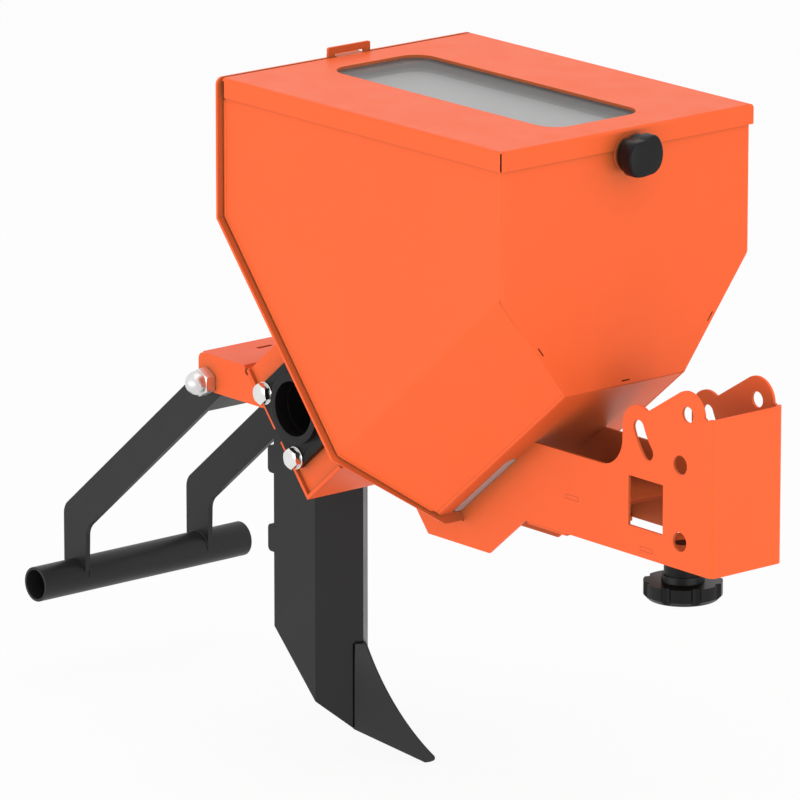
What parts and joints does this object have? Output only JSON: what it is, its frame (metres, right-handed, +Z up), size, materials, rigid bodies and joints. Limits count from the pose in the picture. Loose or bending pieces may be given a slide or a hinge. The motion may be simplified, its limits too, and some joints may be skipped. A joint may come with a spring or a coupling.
{
  "type": "single-row tine seeder",
  "caption": "Folded-sheet seed hopper with a hinged, windowed lid on a hitch frame, with a ripper shank, share and swinging drag bar.",
  "frame": {"origin": "middle of the hitch pin's bore, between the two hitch plates", "axes": "+X is the direction of travel, +Y is the machine's left, +Z is up"},
  "size_m": [0.997, 0.344, 0.7464],
  "materials": {
    "orange_paint": "satin powder coat, orange",
    "black_paint": "satin powder coat, black",
    "black_plastic": "moulded black plastic",
    "zinc_plate": "bright zinc plate",
    "clear_plastic": "clear polycarbonate sheet"
  },
  "bodies": {
    "root": {"hopper_side_right": "orange_paint", "hopper_side_left": "orange_paint", "hopper_front": "orange_paint", "hopper_rear": "orange_paint", "level_window_right": "clear_plastic", "level_window_left": "clear_plastic", "knob_stud": "zinc_plate", "clamp_knob": "black_plastic", "hitch_frame": "orange_paint", "cross_plate_front": "orange_paint", "cross_plate_middle": "orange_paint", "cross_plate_rear": "orange_paint", "spindle": "black_plastic", "handwheel": "black_plastic", "bracket": "orange_paint", "bracket_web_right": "orange_paint", "bracket_web_left": "orange_paint", "tail_box": "orange_paint", "metering_tube": "black_plastic", "bearing_right": "black_plastic", "bearing_left": "black_plastic", "bearing_bolts_right": "zinc_plate", "bearing_bolts_left": "zinc_plate", "pivot_bolt_right": "zinc_plate", "pivot_bolt_left": "zinc_plate", "shank": "black_paint", "share": "black_paint"},
    "lid_body": {"lid": "orange_paint", "lid_window": "clear_plastic"},
    "drag_body": {"drag_arm_right": "black_paint", "drag_arm_left": "black_paint", "drag_brace": "black_paint", "drag_tube": "black_paint"}
  },
  "joints": [
    {"name": "lid_hinge", "type": "hinge", "parent": "root", "child": "lid_body", "pos_m": [-0.586, 0, 0.2585], "axis": [0, -1, 0], "range_deg": [0, 60]},
    {"name": "drag_pivot", "type": "hinge", "parent": "root", "child": "drag_body", "pos_m": [-0.703, 0, -0.0996], "axis": [0, 1, 0], "range_deg": [0, 45]}
  ]
}
